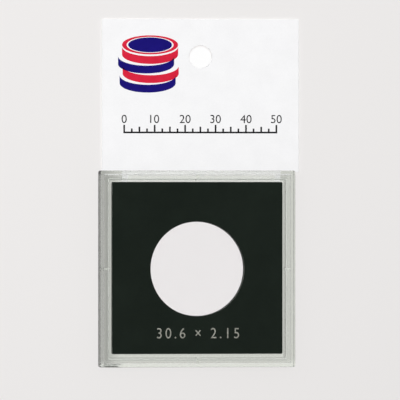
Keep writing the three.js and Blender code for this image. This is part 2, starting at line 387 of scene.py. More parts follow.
@dataclass(frozen=True)
class StudioPaper:
    """Plain pale paper: matt for the camera, and glowing with painted light where the clear plastic shows it.

    The glow stands in for the light and shadow under the case: bright under the coin hole and under the gap
    beside the sheet, a painted shade under the tray's wall for the light that the wall bends away, a painted
    shade towards the rim's left side and painted light along its lower side. Under the black sheet the paper
    lies in its real shadow. Under the hang hole it glows white for the camera, and what the plastic mirrors
    of it is a dim painted reflection.
    """

    hole: tuple[float, float]
    case: tuple[float, float]
    peg: tuple[float, float]
    name: str = "studio_paper_matt_with_painted_glow"
    shade: str = "#E9E7E6"
    # Colours, levels and reaches in millimetres of the painted glow and painted shade under the plastic.
    hole_shade: str = "#FAF5F9"
    rim_shade: str = "#F6F7F2"
    peg_shade: str = "#FFFFFF"
    hole_light: float = 1.06
    hole_edge: tuple[float, float] = (18.0, 23.0)
    rim_light: tuple[float, float] = (0.46, 0.76)
    rim_left: tuple[float, float] = (-31.0, -24.0)
    rim_edge: tuple[float, float] = (25.6, 27.2)
    rim_share: float = 0.85
    wall_edges: tuple[float, float] = (28.9, 30.2)
    wall_steps: tuple[float, float] = (0.3, 0.6)
    wall_light: float = 0.82
    gap_light: float = 1.2
    rim_low: tuple[float, float] = (-31.4, -29.2)
    low_light: float = 1.32
    mirrored_light: float = 0.3
    peg_edge: tuple[float, float] = (3.4, 3.8)
    peg_drop: float = 0.4
    peg_share: float = 0.97

    def material(self) -> bpy.types.Material:
        """Makes the material: matt paper, and a painted glow of its own for rays that come through the
        plastic.

        Smooth steps over the distance from either hole, the place on the rim and the larger of the two
        distances from the case's middle lines say what lies above a point; their products set its painted
        light.

        Returns:
            The material.
        """
        material, tree = fresh_material(self.name)
        place = add_node(tree, "TexCoord").outputs["Object"]
        peg = (self.peg[0], self.peg[1] - self.peg_drop)
        from_hole, from_peg = (
            add_node(
                tree, "VectorMath", {0: place}, {1: on_floor(middle)}, operation="DISTANCE"
            ).outputs["Value"]
            for middle in (self.hole, peg)
        )
        across = add_node(tree, "VectorMath", {0: place}, {1: on_floor(self.case)}, operation="SUBTRACT")
        sides = add_node(tree, "VectorMath", {0: across}, operation="ABSOLUTE")
        parts = add_node(tree, "SeparateXYZ", {0: across})
        halves = add_node(tree, "SeparateXYZ", {0: sides})
        square = add_node(tree, "Math", {0: halves.outputs["X"], 1: halves.outputs["Y"]}, operation="MAXIMUM")
        inner, outer = self.wall_edges
        steps = {
            "hole": (from_hole, self.hole_edge, (1.0, 0.0)),
            "peg": (from_peg, self.peg_edge, (self.peg_share, 0.0)),
            "rim": (square, self.rim_edge, (0.0, self.rim_share)),
            "left": (parts.outputs["X"], self.rim_left, self.rim_light),
            "low": (parts.outputs["Y"], self.rim_low, (self.low_light, 1.0)),
            "wall": (square, (inner - self.wall_steps[0], inner), (self.gap_light, self.wall_light)),
            "skirt": (square, (outer - self.wall_steps[1], outer), (1.0, 1 / self.wall_light)),
        }
        under = {
            name: add_node(tree, "MapRange", {"Value": value}, span(reach, levels, MM), **SMOOTH)
            for name, (value, reach, levels) in steps.items()
        }
        shaded = add_node(tree, "Math", {0: under["wall"], 1: under["skirt"]}, operation="MULTIPLY")
        level = add_node(tree, "Math", {0: under["low"], 1: under["left"]}, operation="MULTIPLY")
        rim = add_node(tree, "Math", {0: shaded, 1: level}, operation="MULTIPLY")
        light = add_node(
            tree, "Mix", {MixInput.FACTOR: under["hole"], MixInput.A: rim}, {MixInput.B: self.hole_light}
        )
        shades = {MixInput.COLOUR_A: linear(self.rim_shade), MixInput.COLOUR_B: linear(self.hole_shade)}
        colour = add_node(tree, "Mix", {MixInput.FACTOR: under["hole"]}, shades, data_type="RGBA")
        # Painted light: the glow that rays bent through the plastic see, white paper under the hang hole for
        # the camera, and a dim painted reflection for mirrored rays.
        glow_through_plastic = add_node(tree, "Emission", {"Color": colour.outputs[MIXED_COLOUR], "Strength": light})
        white = add_node(tree, "Emission", values={"Color": linear(self.peg_shade), "Strength": 1.0})
        dim = add_node(
            tree, "Emission", values={"Color": linear(self.shade), "Strength": self.mirrored_light}
        )
        rays = add_node(tree, "LightPath").outputs
        bent = rays["Is Transmission Ray"]
        either = add_node(tree, "Math", {0: under["hole"], 1: under["rim"]}, operation="MAXIMUM")
        through = add_node(tree, "Math", {0: bent, 1: either}, operation="MULTIPLY")
        seen = add_node(tree, "Math", {0: rays["Is Camera Ray"], 1: under["peg"]}, operation="MULTIPLY")
        mirrored = add_node(
            tree, "Math", {0: rays["Is Glossy Ray"], 1: bent}, operation="SUBTRACT", use_clamp=True
        )
        paper = add_node(
            tree,
            "BsdfPrincipled",
            values={"Base Color": linear(self.shade), "Roughness": 1.0, "Specular IOR Level": 0.0},
        )
        for share, layer in ((through, glow_through_plastic), (seen, white), (mirrored, dim)):
            paper = add_node(tree, "MixShader", {0: share, 1: paper, 2: layer})
        add_node(tree, "OutputMaterial", {"Surface": paper})
        return material


# Meshes


def mesh_piece(
    name: str, points: np.ndarray, faces: list[list[int]], crease: float = 35.0
) -> bpy.types.Object:
    """Makes an object at the origin from points and faces.

    Args:
        name: name of the piece.
        points: N by 3 array of places in millimetres.
        faces: corner numbers of each face, counter-clockwise seen from outside.
        crease: angle in degrees past which an edge stays sharp.

    Returns:
        The linked object, doubles merged and shaded smooth up to the crease.
    """
    mesh = bpy.data.meshes.new(name)
    mesh.from_pydata((points * MM).tolist(), [], faces)
    work = bmesh.new()
    work.from_mesh(mesh)
    bmesh.ops.remove_doubles(work, verts=work.verts, dist=MERGE)
    bmesh.ops.dissolve_degenerate(work, edges=work.edges, dist=MERGE)
    work.to_mesh(mesh)
    work.free()
    mesh.shade_smooth()
    mesh.set_sharp_from_angle(angle=math.radians(crease))
    piece = bpy.data.objects.new(name, mesh)
    bpy.context.scene.collection.objects.link(piece)
    return piece


def grid_faces(rows: int, count: int, round_profile: bool) -> list[list[int]]:
    """Lists the quads of a grid that closes along its columns.

    Args:
        rows: points along the profile.
        count: points along the closed path.
        round_profile: whether the last row joins the first one.

    Returns:
        Corner numbers of each quad.
    """
    index = np.arange(rows * count).reshape(rows, count)
    low, high = (index, np.roll(index, -1, 0)) if round_profile else (index[:-1], index[1:])
    quads = np.stack([low, np.roll(low, -1, 1), np.roll(high, -1, 1), high], -1)
    return quads.reshape(-1, 4).tolist()


def capped_loft(name: str, rings: np.ndarray) -> bpy.types.Object:
    """Skins rings of points and closes the first and last ring with a flat face.

    Args:
        name: name of the piece.
        rings: array of profile points by path points by 3, in millimetres.

    Returns:
        The closed piece.
    """
    rows, count, _ = rings.shape
    index = np.arange(rows * count).reshape(rows, count)
    faces = grid_faces(rows, count, False) + [index[0, ::-1].tolist(), index[-1].tolist()]
    return mesh_piece(name, rings.reshape(-1, 3), faces)


def arc(
    centre: tuple[float, float], radius: float, start: float, stop: float, steps: int = 7
) -> np.ndarray:
    """Gives points centre + radius * (cos a, sin a) with a from start to stop, in degrees.

    Args:
        centre: centre of the arc.
        radius: its radius.
        start: first angle.
        stop: last angle.
        steps: number of points.

    Returns:
        Array of steps by 2.
    """
    angle = np.radians(np.linspace(start, stop, steps))
    return np.array(centre) + radius * np.stack([np.cos(angle), np.sin(angle)], -1)


def ellipse(
    centre: tuple[float, float], half: tuple[float, float], start: float, stop: float, step: float = 5.0
) -> np.ndarray:
    """Gives points centre + (a cos t, b sin t) with t from start to stop, in degrees.

    Args:
        centre: centre of the ellipse.
        half: its half axes a and b.
        start: first angle.
        stop: last angle.
        step: angle from point to point.

    Returns:
        Array of points by 2.
    """
    steps = round(abs(stop - start) / step) + 1
    return np.array(centre) + arc((0, 0), 1, start, stop, steps) * np.array(half)


def rounded_rectangle(
    width: float, height: float, radius: float, per_side: int, per_corner: int
) -> np.ndarray:
    """Gives a rectangle with round corners as a closed row of points, counter-clockwise.

    Straight stretch k runs along side k with even steps, and corner k follows it as an arc.

    Args:
        width: size along X.
        height: size along Y.
        radius: corner radius.
        per_side: points on each straight stretch, both ends counted.
        per_corner: points inside each corner's arc.

    Returns:
        Array of points by 2, about the middle of the rectangle.
    """
    step = np.linspace(-1, 1, per_side)
    turn = np.radians(np.linspace(0, 90, per_corner + 2)[1:-1])
    along = np.concatenate([step, np.ones(per_corner)])
    bend = np.concatenate([np.zeros(per_side), turn])
    half_x = np.array([width, height, width, height])[:, None] / 2 - radius
    half_y = np.array([height, width, height, width])[:, None] / 2 - radius
    local_x = half_x + radius * np.cos(bend)
    local_y = half_y * along + radius * np.sin(bend)
    angle = np.radians(90 * np.arange(4))[:, None]
    x = local_x * np.cos(angle) - local_y * np.sin(angle)
    y = local_x * np.sin(angle) + local_y * np.cos(angle)
    return np.stack([x.ravel(), y.ravel()], -1)


def edge_profile(bottom: float, top: float, edge: float) -> np.ndarray:
    """Gives the section of a plate's edge from its back up to its front, as inset and height.

    Args:
        bottom: height of the back.
        top: height of the front.
        edge: radius that rounds both corners.

    Returns:
        Array of points by 2: two quarter rounds, the lower one first.
    """
    lower = arc((edge, bottom + edge), edge, 270, 180, 4)
    upper = arc((edge, top - edge), edge, 180, 90, 4)
    return np.concatenate([lower, upper])


def plate_with_hole(
    name: str,
    outline: np.ndarray,
    centre: tuple[float, float],
    hole: tuple[float, float],
    diameter: float,
    heights: tuple[float, float],
    edge: float,
    taper: float = 0.0,
) -> bpy.types.Object:
    """Makes a plate with one round hole as a grid that closes both ways.

    Each ray from the hole's centre to a point of the outline carries the plate's section: up the outer
    edge, along the front to the hole, down the hole's wall and back along the rear.

    Args:
        name: name of the piece.
        outline: closed row of points by 2 about the plate's middle.
        centre: the plate's middle.
        hole: the hole's centre.
        diameter: the hole's diameter.
        heights: the plate's back and front.
        edge: radius of its edges.
        taper: how much smaller the hole's radius is at the back.

    Returns:
        The closed piece.
    """
    back, front = heights
    way = outline + np.array(centre) - np.array(hole)
    reach = np.linalg.norm(way, axis=-1)
    way = way / reach[:, None]
    outside = np.concatenate([[[2 * edge, back]], edge_profile(back, front, edge), [[2 * edge, front]]])
    inside = outside[::-1]
    narrower = taper * (front - inside[:, 1:]) / (front - back)
    radius = np.concatenate(
        [reach - outside[:, :1], diameter / 2 + inside[:, :1] - narrower + np.zeros_like(reach)[None]]
    )
    height = np.concatenate([outside[:, 1], inside[:, 1]])
    flat = np.array(hole) + way * radius[..., None]
    tall = np.broadcast_to(height[:, None, None], (*radius.shape, 1))
    rings = np.concatenate([flat, tall], -1)
    return mesh_piece(name, rings.reshape(-1, 3), grid_faces(*radius.shape, True))


def prisms(name: str, outlines: list[np.ndarray], bottom: float, top: float) -> bpy.types.Object:
    """Makes flat slabs with the given outlines.

    A slab is a grid of its outline at both heights with a face over each end; a ring's grid runs from the
    outer outline to the inner one and closes both ways.

    Args:
        name: name of the piece.
        outlines: closed rows of points by 2, counter-clockwise; a pair of rows by points by 2 is a ring.
        bottom: height of their backs.
        top: height of their fronts.

    Returns:
        One piece with all the slabs.
    """
    points, faces, start = [], [], 0
    for outline in outlines:
        ring = outline.ndim == 3
        flat = outline[[0, 0, 1, 1]] if ring else outline[None][[0, 0]]
        rows, count, _ = flat.shape
        tall = np.array([bottom, top, top, bottom])[:rows, None, None] + np.zeros((rows, count, 1))
        index = start + np.arange(rows * count).reshape(rows, count)
        points.append(np.concatenate([flat, tall], -1).reshape(-1, 3))
        faces += (start + np.array(grid_faces(rows, count, ring))).tolist()
        faces += [] if ring else [index[0, ::-1].tolist(), index[1].tolist()]
        start += rows * count
    return mesh_piece(name, np.concatenate(points), faces)


@dataclass(frozen=True)
class Words:
    """A short row of plain numbers, cut from the built-in typeface."""

    text: str
    centre: tuple[float, float]
    height: float
    width: float | None = None
    thin: float = 0.0
    spacing: float = 1.0

    def slab(self, bottom: float, top: float) -> tuple[np.ndarray, list[list[int]]]:
        """Makes the numbers as slabs, stretched from the typeface's own size to theirs.

        Args:
            bottom: height of their backs.
            top: height of their fronts.

        Returns:
            Points by 3 in millimetres, and the faces' corner numbers.
        """
        curve = bpy.data.curves.new("numbers", "FONT")
        curve.body = self.text
        curve.space_character = self.spacing
        curve.offset = -self.thin
        curve.extrude = 0.5
        curve.resolution_u = 6
        holder = bpy.data.objects.new("numbers", curve)
        bpy.context.scene.collection.objects.link(holder)
        bpy.context.view_layer.update()
        seen = holder.evaluated_get(bpy.context.evaluated_depsgraph_get())
        mesh = bpy.data.meshes.new_from_object(seen)
        points = np.empty(len(mesh.vertices) * 3)
        mesh.vertices.foreach_get("co", points)
        points = points.reshape(-1, 3)
        faces = [list(face.vertices) for face in mesh.polygons]
        bpy.data.objects.remove(holder)
        bpy.data.curves.remove(curve)
        bpy.data.meshes.remove(mesh)
        low, high = points.min(0), points.max(0)
        tall = self.height / (high[1] - low[1])
        wide = tall if self.width is None else self.width / (high[0] - low[0])
        place = (points - (low + high) / 2) * np.array([wide, tall, top - bottom])
        return place + np.array([*self.centre, (bottom + top) / 2]), faces


def numbers_piece(name: str, rows: list[Words], bottom: float, top: float) -> bpy.types.Object:
    """Joins several rows of numbers into one piece.

    Args:
        name: name of the piece.
        rows: the rows of numbers.
        bottom: height of their backs.
        top: height of their fronts.

    Returns:
        The piece.
    """
    points, faces, start = [], [], 0
    for row in rows:
        some, corners = row.slab(bottom, top)
        points.append(some)
        faces += [[start + corner for corner in face] for face in corners]
        start += len(some)
    return mesh_piece(name, np.concatenate(points), faces)


def fit_out(
    piece: bpy.types.Object,
    material: bpy.types.Material,
    body: Body,
    stands_for: str | None = None,
) -> None:
    """Dresses a piece and joins it to the frame.

    Args:
        piece: the finished piece, at the origin.
        material: its material.
        body: the body that it rides on.
        stands_for: CAD node that it is shown instead of.
    """
    piece.data.materials.append(material)
    if stands_for is not None:
        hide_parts(stands_for)
    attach(piece, body.value)
    LOG.info("%s: %d faces, rides on %s", piece.name, len(piece.data.polygons), body.value)


def face_rows(piece: bpy.types.Object, what: FaceRow) -> np.ndarray:
    """Reads one vector of each face.

    Args:
        piece: piece that is read.
        what: the faces' middles, in metres, or their outward directions.

    Returns:
        Array of faces by 3.
    """
    rows = np.empty(len(piece.data.polygons) * 3, np.float32)
    piece.data.polygons.foreach_get(what.value, rows)
    return rows.reshape(-1, 3)


def second_finish(piece: bpy.types.Object, material: bpy.types.Material, where: np.ndarray) -> None:
    """Gives a second material to some faces of a dressed piece.

    Args:
        piece: the dressed piece.
        material: the second material.
        where: for each face, whether it gets it.
    """
    piece.data.materials.append(material)
    piece.data.polygons.foreach_set("material_index", where.astype(np.int32))


def middle_of(node: str) -> tuple[float, float]:
    """Gives the middle of a CAD node's box seen from the front, in millimetres."""
    low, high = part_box(node)
    return (low.x + high.x) / 2 / MM, (low.y + high.y) / 2 / MM


def heights_of(node: str) -> tuple[float, float]:
    """Gives the lowest and highest point of a CAD node, in millimetres."""
    low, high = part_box(node)
    return low.z / MM, high.z / MM


@dataclass
class SnapCase:
    """The two clear halves: a tray with an upright wall, and a cover whose skirt drops over it."""

    side: float = 63.8
    corner_radius: float = 0.6
    least_radius: float = 0.3
    edge_radius: float = 0.4
    flat_rim: float = 0.4
    floor: float = 1.7
    pocket: float = 2.85
    window: float = 1.8
    skirt: float = 1.25
    skirt_clearance: float = 0.2
    wall: float = 1.5
    wall_headroom: float = 0.3
    wall_top_radius: float = 0.4
    draft: float = 1.0
    lead_in: float = 0.25
    root_radius: float = 0.2
    seam_chamfer: float = 0.12
    bead_height: float = 1.1
    bead_width: float = 0.6
    bead_proud: float = 0.14
    groove_depth: float = 0.15
    rib_width: float = 0.8
    rib_inset: float = 3.3
    rib_top: float = 3.8
    rib_slope: float = 0.3
    key_width: float = 0.8
    key_proud: float = 0.25
    key_clearance: float = 0.1
    tick_step: float = 0.2
    notch_length: float = 6.4
    notch_height: float = 1.0
    notch_from_corner: float = 3.8
    notch_scoop: float = 2.4
    # Shrinkage waves along the sides: depth, lengths, strength of the shorter one, reach and phases.
    sink: float = 0.004
    sink_lengths: tuple[float, float] = (21.0, 13.0)
    sink_short: float = 0.6
    sink_from: float = 0.15
    sink_to: float = 4.3
    tray_phase: float = 0.4
    cover_phase: float = 2.1
    # Where the painted highlight lies: pale line over the keys, crown of the wall, lip over the notch.
    line_width: float = 0.34
    line_from: float = 0.3
    line_margin: float = 0.05
    crown_reach: float = 0.6
    crown_flat: float = 0.004
    lip: tuple[float, float] = (0.7, 1.3)
    lip_to: float = 1.2
    # Points of the sections and of the path.
    foot: tuple[tuple[float, float], ...] = ((-0.08, 0.0), (-0.02, 0.02))
    foot_height: float = 0.1
    wall_heights: tuple[float, ...] = (3.4, 3.7)
    sharp_step: float = 0.02
    rib_step: float = 0.03
    pocket_heights: tuple[float, ...] = (2.9, 2.3)
    skirt_heights: tuple[float, ...] = (4.2, 4.1, 3.7)
    skirt_middle: float = 3.0
    rim_insets: tuple[float, float] = (0.9, 0.2)
    rim_points: int = 8
    bead_points: int = 11
    side_points: int = 61
    notch_points: int = 33
    corner_points: int = 11
    close_steps: tuple[float, ...] = (0.03, 0.06)
    centre: tuple[float, float] = field(default_factory=lambda: middle_of("back_tray"))
    back: float = field(default_factory=lambda: heights_of("back_tray")[0])

    @property
    def ceiling(self) -> float:
        """Height of the window's inside above the tray's back."""
        return self.floor + self.pocket

    @property
    def wall_inset(self) -> float:
        """Inset of the wall's outer face."""
        return self.skirt + self.skirt_clearance

    @property
    def wall_top(self) -> float:
        """Height of the wall's top above the tray's back."""
        return self.ceiling - self.wall_headroom

    @property
    def key_top(self) -> float:
        """Height of the keys' tops above the tray's back."""
        return self.wall_top - self.lead_in

    @property
    def notch_middle(self) -> float:
        """Place of the nail notch along the lower side, from the side's middle."""
        return self.notch_from_corner - self.side / 2

    def lean(self, height: np.ndarray | float) -> np.ndarray | float:
        """Gives how far the mould's draft moves a face at a height: tan(draft) * (height - floor)."""
        return math.tan(math.radians(self.draft)) * (height - self.floor)

    def stations(self) -> tuple[np.ndarray, np.ndarray, np.ndarray]:
        """Gives the points of the path round the case.

        Each side has even steps, closer ones at the rib and key in its middle and over the notch's length,
        and an arc at its end.

        Returns:
            For each point the place along its side from -1 to 1, the bend into the corner in radians,
            and the quarter turns that bring the +X side there.
        """
        half = self.side / 2 - self.corner_radius
        near = np.array([0.0, *self.close_steps, self.line_width / 2])
        edges = np.array([0.0, self.rib_width / 2, self.key_width / 2 + self.key_clearance])[:, None]
        ticks = np.concatenate([edges + near, edges - near]).ravel()
        start = self.notch_middle - self.notch_length / 2
        arch = np.linspace(max(start, -half), start + self.notch_length, self.notch_points)
        side = np.concatenate([np.linspace(-half, half, self.side_points), ticks, -ticks, arch])
        along = np.unique(np.round(side, 4)) / half
        turn = np.radians(np.linspace(0, 90, self.corner_points)[1:-1])
        one_along = np.concatenate([along, np.ones(len(turn))])
        one_bend = np.concatenate([np.zeros(len(along)), turn])
        quarter = np.repeat(np.arange(4), len(one_along))
        return np.tile(one_along, 4), np.tile(one_bend, 4), quarter

    def carry(self, inset: np.ndarray, height: np.ndarray) -> np.ndarray:
        """Carries a section round the case.

        With half side a and corner radius r at an inset, a point of the +X side is
        (a - r + r cos b, t (a - r) + r sin b), t its place along the side and b its bend; the other
        sides are its quarter turns.

        Args:
            inset: distance inside the side faces, profile points by path points.
            height: height above the tray's back, of the same shape.

        Returns:
            Places in the row frame, profile points by path points by 3.
        """
        along, bend, quarter = self.stations()
        radius = np.maximum(self.corner_radius - inset, self.least_radius)
        straight = self.side / 2 - inset - radius
        x = straight + radius * np.cos(bend)
        y = straight * along + radius * np.sin(bend)
        cos, sin = np.cos(quarter * math.pi / 2), np.sin(quarter * math.pi / 2)
        return np.stack(
            [
                self.centre[0] + x * cos - y * sin,
                self.centre[1] + x * sin + y * cos,
                self.back + height + np.zeros_like(x),
            ],
            -1,
        )

    def along_mm(self) -> np.ndarray:
        """Gives each path point's place along its side, in millimetres from the side's middle."""
        along, bend, _ = self.stations()
        return np.where(bend > 0, self.side, along * (self.side / 2 - self.corner_radius))

    def tick(self, width: float) -> np.ndarray:
        """Gives 1 over a width at the middle of each side and 0 beside it, with a short step between."""
        past = (width / 2 - np.abs(self.along_mm())) / self.tick_step + 0.5
        return np.clip(past, 0, 1)

    def ripple(self, phase: float) -> np.ndarray:
        """Gives the shrinkage waves along the sides, which die out towards the corners.

        At s from the middle of side q they are a sine of the longer length, moved on by phase and q, plus
        a weaker one of the shorter length, moved on by 2 q, times the root of cos(pi s / side).

        Args:
            phase: where the longer wave starts, in radians.

        Returns:
            How far each path point moves inwards.
        """
        along = self.along_mm()
        _, bend, quarter = self.stations()
        longer, shorter = self.sink_lengths
        wave = np.sin(2 * np.pi * along / longer + phase + quarter)
        wave = wave + self.sink_short * np.sin(2 * np.pi * along / shorter + 2 * quarter)
        fade = np.cos(np.clip(along / self.side, -0.5, 0.5) * np.pi) ** 0.5
        return self.sink * np.where(bend > 0, 0, wave) * fade

    def bump_on_wall(self, height: np.ndarray) -> np.ndarray:
        """Gives a raised cosine of 0 to 1 over the bead's width, for the bead and its groove."""
        off = (height - self.floor - self.bead_height) / (self.bead_width / 2)
        return np.where(np.abs(off) < 1, 0.5 + 0.5 * np.cos(np.pi * off), 0)

    def snap_heights(self) -> np.ndarray:
        """Gives the heights of the points over the snap bead, from below upwards."""
        middle = self.floor + self.bead_height
        return np.linspace(middle - self.bead_width / 2, middle + self.bead_width / 2, self.bead_points)

    def tray(self) -> bpy.types.Object:
        """Makes the tray: back, rounded flange, wall with bead and keys, ribs and the pocket's floor.

        Its section runs from the back up the outer face, over the wall's crown and down the inner face,
        and is carried round the case. In the middle of each side a key brings the outer face out to one
        inset and a rib brings the inner face in to another.

        Returns:
            The closed piece.
        """
        top, crown, lead, root = self.wall_top, self.wall_top_radius, self.lead_in, self.root_radius
        pocket = self.wall_inset + self.wall
        key_edge = [self.key_top - self.sharp_step, self.key_top + self.sharp_step]
        outer_heights = np.concatenate(
            [[self.floor + self.foot_height], self.snap_heights(), self.wall_heights, key_edge]
        )
        bead = self.bead_proud * self.bump_on_wall(outer_heights)
        outer = self.wall_inset + self.lean(outer_heights) - bead
        rib_heights = [self.rib_top + self.rib_step, self.rib_top, self.rib_top - self.rib_slope]
        inner_heights = np.array([top - crown, *rib_heights, *self.pocket_heights, self.floor + root])
        outer_side = np.concatenate(
            [
                [[self.edge_radius + self.flat_rim, 0]],
                arc((self.edge_radius, self.edge_radius), self.edge_radius, 270, 180),
                arc((self.seam_chamfer, self.floor - self.seam_chamfer), self.seam_chamfer, 180, 90, 5),
                np.array([self.wall_inset, self.floor]) + np.array(self.foot),
                np.stack([outer, outer_heights], -1),
                arc((self.wall_inset + self.lean(top) + lead, top - lead), lead, 180, 90, 6)[1:],
                arc((pocket - self.lean(top) - crown, top - crown), crown, 90, 0, 9)[:-1],
            ]
        )
        inner_side = np.concatenate(
            [
                np.stack([pocket - self.lean(inner_heights), inner_heights], -1),
                arc((pocket + root, self.floor + root), root, 195, 270, 5),
                [[pocket + root + self.flat_rim, self.floor]],
            ]
        )
        section = np.concatenate([outer_side, inner_side])
        inside = np.repeat([False, True], [len(outer_side), len(inner_side)])
        inset = section[:, :1] + np.zeros_like(self.along_mm())
        height = section[:, 1:] + np.zeros_like(inset)
        slope = np.clip((height - self.rib_top + self.rib_slope) / self.rib_slope, 0, 1) * self.rib_slope
        ribbed = (height <= self.rib_top + HAIR) & inside[:, None]
        rib = np.maximum(self.rib_inset - slope - inset, 0) * ribbed
        outside = (section[:, 1] > self.floor + HAIR) & ~inside & (section[:, 1] < self.key_top)
        key = np.minimum(self.wall_inset - self.key_proud - inset, 0) * outside[:, None]
        waved = (section[:, 1:] > self.floor + self.sink_from) & (section[:, :1] > self.seam_chamfer)
        waves = self.ripple(self.tray_phase) * waved
        inset = inset + waves + rib * self.tick(self.rib_width) + key * self.tick(self.key_width)
        return capped_loft("tray_clear", self.carry(inset, height))

    def cover(self) -> bpy.types.Object:
        """Makes the cover: window, skirt with groove and keyways, rim with the nail notch, rounded front.

        Its section runs from the window's inside down the skirt's inner face, round the rim and up the
        outer face to the front, and is carried round the case. At a distance d from its middle the notch
        is h (1 - (d / a)^4) high, h its height and a half its length.

        Returns:
            The closed piece.
        """
        rim, lead, front = self.floor + AIR_GAP, self.lead_in, self.ceiling + self.window
        root = self.skirt + self.lean(self.ceiling) + self.root_radius
        face_heights = np.concatenate([self.skirt_heights, self.snap_heights()[::-1], [rim + lead]])
        face = self.skirt + self.lean(face_heights) - self.groove_depth * self.bump_on_wall(face_heights)
        flat = np.linspace(*self.rim_insets, self.rim_points)
        inner_side = np.concatenate(
            [
                [[root + self.flat_rim, self.ceiling]],
                arc((root, self.ceiling - self.root_radius), self.root_radius, 90, 180, 5),
                np.stack([face, face_heights], -1),
                arc((self.skirt - lead, rim + lead), lead, 0, -90, 5)[1:],
            ]
        )
        outer_side = np.concatenate(
            [
                np.stack([flat, np.full_like(flat, rim)], -1),
                arc((self.seam_chamfer, rim + self.seam_chamfer), self.seam_chamfer, 270, 180, 5),
                [[0, self.skirt_middle]],
                arc((self.edge_radius, front - self.edge_radius), self.edge_radius, 180, 90),
                [[self.edge_radius + self.flat_rim, front]],
            ]
        )
        section = np.concatenate([inner_side, outer_side])
        inside = np.repeat([True, False], [len(inner_side), len(outer_side)])
        along = self.along_mm()
        _, _, quarter = self.stations()
        inset = section[:, :1] + np.zeros_like(along)
        height = section[:, 1:] + np.zeros_like(inset)
        keyway = inside & (section[:, 1] < self.key_top + self.key_clearance + HAIR)
        depth = self.wall_inset - self.key_proud - self.key_clearance
        cut = np.minimum(depth - inset, 0) * keyway[:, None]
        inset = inset + cut * self.tick(self.key_width + 2 * self.key_clearance)
        inset = inset + self.ripple(self.cover_phase) * (inside & (section[:, 1] < self.sink_to))[:, None]
        half = self.notch_length / 2
        off = np.minimum(np.abs(along - self.notch_middle), half)
        arch = self.notch_height * (1 - (off / half) ** 4)
        scoop = np.clip(1 - section[:, :1] / self.skirt, 0, 1) ** self.notch_scoop
        height = np.where(quarter == Side.LOWER.value, np.maximum(height, rim + scoop * arch), height)
        return capped_loft("cover_clear", self.carry(inset, height))

    def mark_ground_faces(self, tray: bpy.types.Object, painted_highlight: bpy.types.Material) -> None:
        """Gives the pale finish, a painted highlight, to the crown of the wall's inner face and to a line
        over the keys.

        The line runs over the wall, its key and its rib, in the middle of the left and right side. A face
        belongs to either by the inset and the height of its middle. The tray is kept out of the lamps' shadow
        rays, so these opaque painted lines throw no shadow, and the clear plastic throws none of its own.

        Args:
            tray: the dressed tray.
            painted_highlight: the pale finish that paints the highlight lines.
        """
        place = np.abs(face_rows(tray, FaceRow.MIDDLE) / MM - np.array([*self.centre, self.back]))
        inset, height = self.side / 2 - place[:, :2].max(1), place[:, 2]
        pocket = self.wall_inset + self.wall
        crown = (inset > pocket - self.crown_reach) & (inset < pocket)
        crown &= (height > self.wall_top - self.wall_top_radius) & (height < self.wall_top - self.crown_flat)
        outermost = self.wall_inset - self.key_proud - self.line_margin
        line = (inset > outermost) & (inset < self.rib_inset + self.line_margin)
        line &= (height > self.floor + self.line_from) & (place[:, 1] < self.line_width / 2)
        second_finish(tray, painted_highlight, crown | line)
        tray.visible_shadow = False

    def mark_notch_lip(self, cover: bpy.types.Object, painted_highlight: bpy.types.Material) -> None:
        """Gives the pale finish, a painted highlight, to the skirt's inner lip over the nail notch.

        Args:
            cover: the dressed cover.
            painted_highlight: the pale finish that paints the highlight lines.
        """
        place = face_rows(cover, FaceRow.MIDDLE) / MM - np.array([*self.centre, self.back])
        inset = self.side / 2 + place[:, 1]
        off = np.abs(place[:, 0] - self.notch_middle)
        lip = (inset > self.lip[0]) & (inset < self.lip[1]) & (off < self.notch_length / 2)
        lip &= (place[:, 2] < self.floor + self.lip_to) & (inset < self.side / 2 - np.abs(place[:, 0]))
        second_finish(cover, painted_highlight, lip)

    def build(self) -> None:
        """Builds and dresses both halves."""
        # The second finish paints pale highlight lines on the clear plastic.
        plastic, painted_highlight = ClearPolystyrene().material(), PAINTED_HIGHLIGHT_EDGE.material()
        tray = self.tray()
        fit_out(tray, plastic, Body.TRAY_AND_CARD, "back_tray")
        self.mark_ground_faces(tray, painted_highlight)
        cover = self.cover()
        fit_out(cover, plastic, Body.COVER, "front_cover")
        self.mark_notch_lip(cover, painted_highlight)


